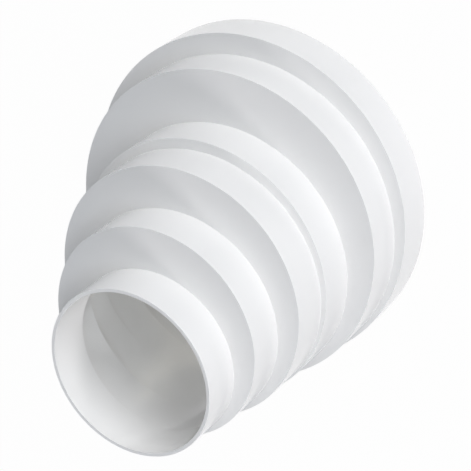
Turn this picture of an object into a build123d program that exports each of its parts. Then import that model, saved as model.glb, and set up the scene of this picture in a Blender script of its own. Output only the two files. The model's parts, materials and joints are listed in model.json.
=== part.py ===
from build123d import *
import os

# Eccentric stepped duct reducer, moulded in one piece.
# It stands on its large mouth: the origin is the centre of that mouth's face, and +Z runs along
# the duct to the small mouth. All spigots touch one straight side line, which lies at -Y.

# Outside diameters of the spigots, from the large mouth up to the small one
first_diameter = 160.0
second_diameter = 150.0
third_diameter = 125.0
fourth_diameter = 120.0
fifth_diameter = 100.0
sixth_diameter = 80.0

# Lengths of the spigots along the duct, in the same order
first_length = 20.0
second_length = 20.0
third_length = 20.0
fourth_length = 20.0
fifth_length = 20.0
sixth_length = 20.0

wall = 1.6  # thickness of the spigots and of the flat shoulders between them
side_ledge = 0.05  # how far each spigot's side line sits inside the one below it
rim_round = 0.2  # radius on the outer edge of each open mouth, which leads into a duct
round_share = 0.5  # largest share of the wall that the rim's round may take

diameters = [
    first_diameter,
    second_diameter,
    third_diameter,
    fourth_diameter,
    fifth_diameter,
    sixth_diameter,
]
lengths = [
    first_length,
    second_length,
    third_length,
    fourth_length,
    fifth_length,
    sixth_length,
]

radii = [diameter / 2 for diameter in diameters]
axes_y = [radius - radii[0] + side_ledge * i for i, radius in enumerate(radii)]
step_heights = [sum(lengths[:i]) for i in range(len(lengths) + 1)]


def passage_heights():
    """Heights of the steps inside: a shoulder's inner face lies one wall into its wider spigot."""
    heights = step_heights.copy()
    for i in range(1, len(radii)):
        wider_below = radii[i - 1] >= radii[i]
        heights[i] += -wall if wider_below else wall
    return heights


def spigot_stack(inset, heights):
    """Round discs on top of each other between the heights, each smaller by the inset all round.

    The seam of each disc is turned to the straight side, where neighbouring discs nearly touch.
    """
    stack = Part()
    for radius, axis_y, low, high in zip(radii, axes_y, heights, heights[1:]):
        seat = Plane(origin=(0, axis_y, low), x_dir=(0, -1, 0), z_dir=(0, 0, 1))
        base_centred = (Align.CENTER, Align.CENTER, Align.MIN)
        stack += seat * Cylinder(radius - inset, high - low, align=base_centred)
    return stack


def moulded_shell():
    """Outer stack less the air passage, with the outer edge of both open mouths rounded."""
    shell = spigot_stack(0, step_heights) - spigot_stack(wall, passage_heights())
    rings = shell.edges().filter_by(GeomType.CIRCLE).group_by(Axis.Z)
    outer_rims = [mouth.sort_by(SortBy.RADIUS)[-1] for mouth in (rings[0], rings[-1])]
    return fillet(outer_rims, min(rim_round, round_share * wall))


duct_reducer = moulded_shell()
duct_reducer.label = "duct_reducer"

os.makedirs("parts", exist_ok=True)
export_step(duct_reducer, "parts/duct_reducer.step")
print("duct_reducer", round(duct_reducer.volume), "mm3", duct_reducer.bounding_box().size)
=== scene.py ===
import json

import bpy
import numpy as np
from mathutils import Matrix, Vector


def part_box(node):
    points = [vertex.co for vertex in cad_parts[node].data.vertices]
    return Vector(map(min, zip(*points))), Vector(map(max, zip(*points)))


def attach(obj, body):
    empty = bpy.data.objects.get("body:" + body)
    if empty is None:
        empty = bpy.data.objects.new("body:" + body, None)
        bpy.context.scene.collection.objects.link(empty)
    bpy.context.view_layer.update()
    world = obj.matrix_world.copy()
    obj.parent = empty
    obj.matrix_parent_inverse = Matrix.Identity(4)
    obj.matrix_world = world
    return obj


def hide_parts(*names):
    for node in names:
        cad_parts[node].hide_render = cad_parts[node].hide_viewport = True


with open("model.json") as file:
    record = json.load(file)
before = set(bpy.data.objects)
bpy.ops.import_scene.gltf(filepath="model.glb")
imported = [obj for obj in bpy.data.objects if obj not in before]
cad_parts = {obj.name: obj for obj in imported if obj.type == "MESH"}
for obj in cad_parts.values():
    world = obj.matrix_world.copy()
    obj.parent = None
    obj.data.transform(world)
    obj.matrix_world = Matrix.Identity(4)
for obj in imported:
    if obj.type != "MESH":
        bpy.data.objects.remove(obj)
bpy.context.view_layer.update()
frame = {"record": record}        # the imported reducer, in metres, standing on its large mouth


# Shader helper: arithmetic on a wire adds Math nodes, make() adds any other node

class Wire:
    def __init__(self, tree, socket=None):
        self.tree = tree
        self.socket = socket

    def make(self, kind, settings=None, sockets=None, output=0):
        node = self.tree.nodes.new(kind)
        for name, value in (settings or {}).items():
            setattr(node, name, value)
        for name, value in (sockets or {}).items():
            if isinstance(value, Wire):
                self.tree.links.new(value.socket, node.inputs[name])
            else:
                node.inputs[name].default_value = value
        return Wire(self.tree, node.outputs[output] if node.outputs else None)

    def math(self, operation, first, second):
        return self.make("ShaderNodeMath", {"operation": operation}, {0: first, 1: second})

    def __add__(self, other):
        return self.math("ADD", self, other)

    def __radd__(self, other):
        return self.math("ADD", other, self)

    def __sub__(self, other):
        return self.math("SUBTRACT", self, other)

    def __rsub__(self, other):
        return self.math("SUBTRACT", other, self)

    def __mul__(self, other):
        return self.math("MULTIPLY", self, other)

    def __rmul__(self, other):
        return self.math("MULTIPLY", other, self)


# Stepped shell: one closed section carried round, each of its points a circle on its own spigot's axis

shellLook = {
    "around": 288,          # facets round every ring
    "arcPoints": 5,         # points on each rounded edge
    "leadIn": 1.7,          # extra ring beside a round, in radii from the corner, keeps the flats flat
    "edgeRound": 0.00005,   # shoulders' outer edges
    "rootRound": 0.00005,   # corner where a spigot rises from a shoulder
    "rimRound": 0.0002,     # outer edges of the two open mouths
    "roundShare": 0.25,     # most of a shoulder's width that one round may take
}
perMetre = 1000             # the record's radii are in millimetres


def sectionCorners():
    # corners of the wall's section, up the outside, over the small mouth and down the passage
    mounts = frame["record"]["mounts"]
    spigots = sorted((m for m in mounts if m["kind"] == "pin"), key=lambda m: m["pos_m"][2])
    radius = np.array([m["dims"]["r_mm"] for m in spigots]) / perMetre
    axisY = np.array([m["pos_m"][1] for m in spigots])
    bore = next(m for m in mounts if m["name"] == "small_mouth_bore")
    wall = radius[-1] - bore["dims"]["r_mm"] / perMetre
    low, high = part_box("duct_reducer")
    steps = np.linspace(low.z, high.z, len(spigots) + 1)
    passage = steps.copy()
    passage[1:-1] -= wall                               # inner steps lie one wall lower
    ring = np.repeat(np.arange(len(spigots)), 2)
    outside = np.stack([radius[ring], axisY[ring], np.repeat(steps, 2)[1:-1]])
    inside = np.stack([radius[ring] - wall, axisY[ring], np.repeat(passage, 2)[1:-1]])
    return np.concatenate([outside, inside[:, ::-1]], axis=1)


def buildShell(look):
    radius, axisY, height = sectionCorners()
    count = len(radius)
    around = np.linspace(0, 2 * np.pi, look["around"], endpoint=False)

    # direction of the section after and before each corner, in radius and height
    outward = np.stack([np.roll(radius, -1) - radius, np.roll(height, -1) - height])
    outward[0, ::2] = 0                                 # even corners start a spigot's wall
    outward = np.sign(outward)
    outward[1, 1::2] = 0                                # odd corners start a shoulder or a rim
    inward = np.roll(outward, 1, axis=1)

    # room beside each corner: from its own circle along the ray to the circle across the shoulder
    across = np.where(np.arange(count) % 2, np.arange(count) + 1, np.arange(count) - 1) % count
    shift = (axisY[across] - axisY)[:, None]
    reach = shift * np.cos(around) + np.sqrt(radius[across, None] ** 2 - (shift * np.sin(around)) ** 2)
    room = np.abs(reach - radius[:, None])

    # rounds: rim, then edge and root in turn, then rim again; inside only edges and roots
    half = count // 2
    steps = [look["edgeRound"], look["rootRound"]] * (half // 2 - 1)
    outer = [look["rimRound"]] + steps + [look["rimRound"]]
    inner = [look["edgeRound"]] + steps + [look["edgeRound"]]
    rounding = np.minimum(np.array(outer + inner)[:, None], look["roundShare"] * room)

    # each corner: corner + round * ((sin t - 1) * way in + (1 - cos t) * way out),
    # with t from 0 to 90 degrees
    turn = np.linspace(0, np.pi / 2, look["arcPoints"])
    fromIn = np.concatenate([[-look["leadIn"]], np.sin(turn) - 1, [0]])
    fromOut = np.concatenate([[0], 1 - np.cos(turn), [look["leadIn"]]])
    step = (fromIn[None, :, None] * inward[:, :, None, None]
            + fromOut[None, :, None] * outward[:, :, None, None])
    ringRadius = radius[:, None, None] + rounding[:, None, :] * step[0]
    ringHeight = height[:, None, None] + rounding[:, None, :] * step[1]
    x = ringRadius * np.sin(around)
    y = axisY[:, None, None] + ringRadius * np.cos(around)
    points = np.stack([x, y, ringHeight], axis=-1).reshape(-1, 3)

    # one quad between neighbouring rings and angles, closed both ways
    rings = count * len(fromIn)
    index = np.arange(rings * look["around"]).reshape(rings, look["around"])
    above = np.roll(index, -1, axis=0)
    faces = np.stack([index, above, np.roll(above, -1, axis=1), np.roll(index, -1, axis=1)], axis=-1)
    return meshPiece("reducerShell", points, faces.reshape(-1, 4))


def meshPiece(name, points, faces):
    # whole arrays of points and faces become one smooth-shaded mesh, its object at the origin
    mesh = bpy.data.meshes.new(name)
    mesh.vertices.add(len(points))
    mesh.vertices.foreach_set("co", points.astype(np.float32).ravel())
    mesh.loops.add(faces.size)
    mesh.loops.foreach_set("vertex_index", faces.astype(np.int32).ravel())
    mesh.polygons.add(len(faces))
    mesh.polygons.foreach_set("loop_start", np.arange(len(faces), dtype=np.int32) * faces.shape[1])
    mesh.update(calc_edges=True)
    mesh.validate()
    mesh.polygons.foreach_set("use_smooth", np.ones(len(faces), dtype=bool))
    piece = bpy.data.objects.new(name, mesh)
    bpy.context.scene.collection.objects.link(piece)
    return piece


# White plastic: satin moulded skin, faint cloudiness and a fine grain

plasticLook = {
    "colour": (0.806, 0.806, 0.798, 1),
    "cloudColour": (0.794, 0.794, 0.786, 1),
    "cloudScale": 28,
    "cloudDetail": 3,
    "cloudMiddle": 0.5,         # where the clouds leave the roughness as it is
    "roughness": 0.15,
    "roughnessSwing": 0.08,     # how far the clouds move the roughness
    "ior": 1.5,
    "specularLevel": 0.5,
    "grainScale": 2600,
    "grainDetail": 1,
    "grainStrength": 0.25,
    "grainDepth": 0.00002,
}


def whitePlastic(look):
    material = bpy.data.materials.new("whitePlastic")
    material.use_nodes = True
    material.node_tree.nodes.clear()
    tree = Wire(material.node_tree)
    place = tree.make("ShaderNodeTexCoord", output="Object")
    cloud = tree.make("ShaderNodeTexNoise", None,
                      {"Vector": place, "Scale": look["cloudScale"], "Detail": look["cloudDetail"]})
    grain = tree.make("ShaderNodeTexNoise", None,
                      {"Vector": place, "Scale": look["grainScale"], "Detail": look["grainDetail"]})
    # of the Mix node's sockets, 6 and 7 take the two colours and output 2 gives the mixed one
    colour = tree.make("ShaderNodeMix", {"data_type": "RGBA"},
                       {0: cloud, 6: look["colour"], 7: look["cloudColour"]}, output=2)
    bump = tree.make("ShaderNodeBump", None,
                     {"Height": grain, "Strength": look["grainStrength"],
                      "Distance": look["grainDepth"]})
    shader = tree.make("ShaderNodeBsdfPrincipled", None, {
        "Base Color": colour,
        "Roughness": look["roughness"] + look["roughnessSwing"] * (cloud - look["cloudMiddle"]),
        "IOR": look["ior"],
        "Specular IOR Level": look["specularLevel"],
        "Normal": bump,
    })
    tree.make("ShaderNodeOutputMaterial", None, {"Surface": shader})
    return material


shellPiece = buildShell(shellLook)
shellPiece.data.materials.append(whitePlastic(plasticLook))
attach(shellPiece, "root")
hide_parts("duct_reducer")
print("shell built,", len(shellPiece.data.polygons), "quads")


# Stage: pale floor and surround, both white to the camera and in gloss; the floor keeps the shadow

stageLook = {
    "floorSide": 8.0,
    "floorDrop": 0.0001,                # keeps the floor just clear of the rim it carries
    "floorColour": (0.6, 0.6, 0.6, 1),
    "floorGlow": 0.98,                  # share of plain white that the camera and the gloss see there
    "plainWhite": (1, 1, 1, 1),
    "surroundColour": (0.97, 1.001, 1.077, 1),
    "surroundStrength": 0.2,
}


def shareSeen(tree, share):
    # the share on rays from the camera, in gloss or through glass; 0 on rays that only carry light
    ray = {name: tree.make("ShaderNodeLightPath", output=name)
           for name in ("Is Camera Ray", "Is Glossy Ray", "Is Transmission Ray")}
    seen = ray["Is Camera Ray"] + ray["Is Glossy Ray"] + ray["Is Transmission Ray"]
    return share * tree.math("MINIMUM", seen, 1)


def buildFloor(look):
    # one flat square round the origin
    side = look["floorSide"] / 2
    corners = np.array([[-side, -side], [side, -side], [side, side], [-side, side]])
    points = np.column_stack([corners, np.full(4, -look["floorDrop"])])
    floor = meshPiece("studioFloor", points, np.arange(4).reshape(1, 4))
    material = bpy.data.materials.new("studioFloor")
    material.use_nodes = True
    material.node_tree.nodes.clear()
    tree = Wire(material.node_tree)
    matte = tree.make("ShaderNodeBsdfDiffuse", None, {"Color": look["floorColour"]})
    white = tree.make("ShaderNodeEmission", None, {"Color": look["plainWhite"], "Strength": 1})
    share = shareSeen(tree, look["floorGlow"])
    mixed = tree.make("ShaderNodeMixShader", None, {0: share, 1: matte, 2: white})
    tree.make("ShaderNodeOutputMaterial", None, {"Surface": mixed})
    floor.data.materials.append(material)


def buildSurround(look):
    world = bpy.data.worlds.new("surround")
    world.use_nodes = True
    world.node_tree.nodes.clear()
    tree = Wire(world.node_tree)
    light = tree.make("ShaderNodeBackground", None,
                      {"Color": look["surroundColour"], "Strength": look["surroundStrength"]})
    white = tree.make("ShaderNodeBackground", None, {"Color": look["plainWhite"], "Strength": 1})
    mixed = tree.make("ShaderNodeMixShader", None, {0: shareSeen(tree, 1), 1: light, 2: white})
    tree.make("ShaderNodeOutputWorld", None, {"Surface": mixed})
    bpy.context.scene.world = world


buildFloor(stageLook)
buildSurround(stageLook)


def lookFrom(azimuth, elevation):
    # unit vector towards a viewer or lamp: azimuth 0 is -Y, 90 is +X
    turn, rise = np.radians([azimuth, elevation])
    return np.array([np.sin(turn) * np.cos(rise), -np.cos(turn) * np.cos(rise), np.sin(rise)])


# Soft lamps far off: each fills a round patch of the sky as wide as its spread, in degrees,
# and a white face that looks straight at it alone would shine with its level

lampLook = [
    {"name": "keyLamp", "azimuth": 134, "elevation": 24, "spread": 42, "level": 0.341,
     "colour": (0.991, 1, 1.028)},
    {"name": "secondLamp", "azimuth": 160, "elevation": 16, "spread": 27, "level": 0.307,
     "colour": (0.997, 1, 1.012)},
    {"name": "lowLamp", "azimuth": 194, "elevation": 6, "spread": 26, "level": 0.171,
     "colour": (1.003, 0.999, 0.998)},
    {"name": "sideLamp", "azimuth": 56, "elevation": 22, "spread": 16, "level": 0.388,
     "colour": (1.023, 0.993, 0.999)},
    {"name": "topLamp", "azimuth": 97, "elevation": 60, "spread": 19, "level": 0.102,
     "colour": (0.939, 1.009, 1.095)},
    {"name": "backLamp", "azimuth": 335, "elevation": 13, "spread": 40, "level": 0.106,
     "colour": (0.88, 1.015, 1.17)},
]

# Light that comes in at the large mouth, which the floor closes here: patches that face up the passage,
# the last one long and narrow, for the pale streak that the glossy wall inside shows
mouthLook = [
    {"name": "mouthMiddle", "shape": "ELLIPSE", "place": (0.003, 0.0196), "size": (0.0792, 0.0792),
     "turn": 0, "level": 0.23, "colour": (0.992, 1, 1.021)},
    {"name": "mouthNearSide", "shape": "ELLIPSE", "place": (0.029, -0.043), "size": (0.0477, 0.0477),
     "turn": 0, "level": 1.4, "colour": (0.989, 1, 1.029)},
    {"name": "mouthFarEdge", "shape": "ELLIPSE", "place": (-0.055, -0.042), "size": (0.0174, 0.0174),
     "turn": 0, "level": 0.36, "colour": (1.053, 0.971, 1.135)},
    {"name": "mouthFarSide", "shape": "RECTANGLE", "place": (-0.0199, -0.0014), "size": (0.0391, 0.0258),
     "turn": 53.8, "level": 0.68, "colour": (1.01, 1.007, 0.896)},
    {"name": "mouthStreak", "shape": "RECTANGLE", "place": (-0.0215, -0.0252), "size": (0.0758, 0.0074),
     "turn": 85.6, "level": 0.9, "colour": (1.091, 0.994, 0.793)},
]
mouthLift = 0.0003      # each patch lies this far over the last, so none hides another in the gloss


def buildLamp(look):
    light = bpy.data.lights.new(look["name"], "SUN")
    light.angle = np.radians(look["spread"])
    light.energy = np.pi * look["level"]
    light.color = look["colour"]
    direction = lookFrom(look["azimuth"], look["elevation"])
    lamp = bpy.data.objects.new(look["name"], light)
    lamp.location = Vector(direction)
    lamp.rotation_mode = "QUATERNION"
    lamp.rotation_quaternion = Vector(-direction).to_track_quat("-Z", "Y")
    bpy.context.scene.collection.objects.link(lamp)


def buildMouthLight(look, height):
    # power of a patch that shines with its level: pi * level * area
    light = bpy.data.lights.new(look["name"], "AREA")
    light.shape = look["shape"]
    light.size, light.size_y = look["size"]
    area = light.size * light.size_y * (np.pi / 4 if light.shape == "ELLIPSE" else 1)
    light.energy = np.pi * look["level"] * area
    light.color = look["colour"]
    lamp = bpy.data.objects.new(look["name"], light)
    lamp.location = (*look["place"], height)
    lamp.rotation_euler = (np.pi, 0, np.radians(look["turn"]))
    lamp.visible_camera = False
    bpy.context.scene.collection.objects.link(lamp)


for lamp in lampLook:
    buildLamp(lamp)
for order, patch in enumerate(mouthLook, 1):
    buildMouthLight(patch, mouthLift * order)
print("stage lit by", len(lampLook), "lamps and", len(mouthLook), "patches of light in the mouth")


# Camera: the photograph looks down on the part from its small mouth, turned on its side

cameraLook = {
    "aim": (0.01315, -0.00017, 0.05252),
    "azimuth": 136.027,
    "elevation": 50.306,
    "distance": 0.78998,
    "roll": 128.352,        # degrees that the picture's upright leans right from the part's own
    "lens": 137.09,
    "sensor": 36.0,
    "clipStart": 0.01,
}
bounceLook = {"diffuse": 16, "total": 20}       # white walls pass light on many times


def buildCamera(look):
    # the camera stands at aim + distance * back, and its up is the upright turned by the roll
    back = lookFrom(look["azimuth"], look["elevation"])
    upright = np.array([0, 0, 1]) - back[2] * back
    upright /= np.linalg.norm(upright)
    side = np.cross(upright, back)
    lean = np.radians(look["roll"])
    up = np.cos(lean) * upright + np.sin(lean) * side
    right = np.cross(up, back)
    place = np.eye(4)
    place[:3, :3] = np.stack([right, up, back], axis=1)
    place[:3, 3] = np.array(look["aim"]) + look["distance"] * back
    camera = bpy.data.cameras.new("photoCamera")
    camera.lens = look["lens"]
    camera.sensor_width = look["sensor"]
    camera.clip_start = look["clipStart"]
    viewer = bpy.data.objects.new("photoCamera", camera)
    viewer.matrix_world = Matrix(place.tolist())
    bpy.context.scene.collection.objects.link(viewer)
    bpy.context.scene.camera = viewer


buildCamera(cameraLook)
bpy.context.scene.view_settings.view_transform = "Standard"
bpy.context.scene.cycles.diffuse_bounces = bounceLook["diffuse"]
bpy.context.scene.cycles.max_bounces = bounceLook["total"]
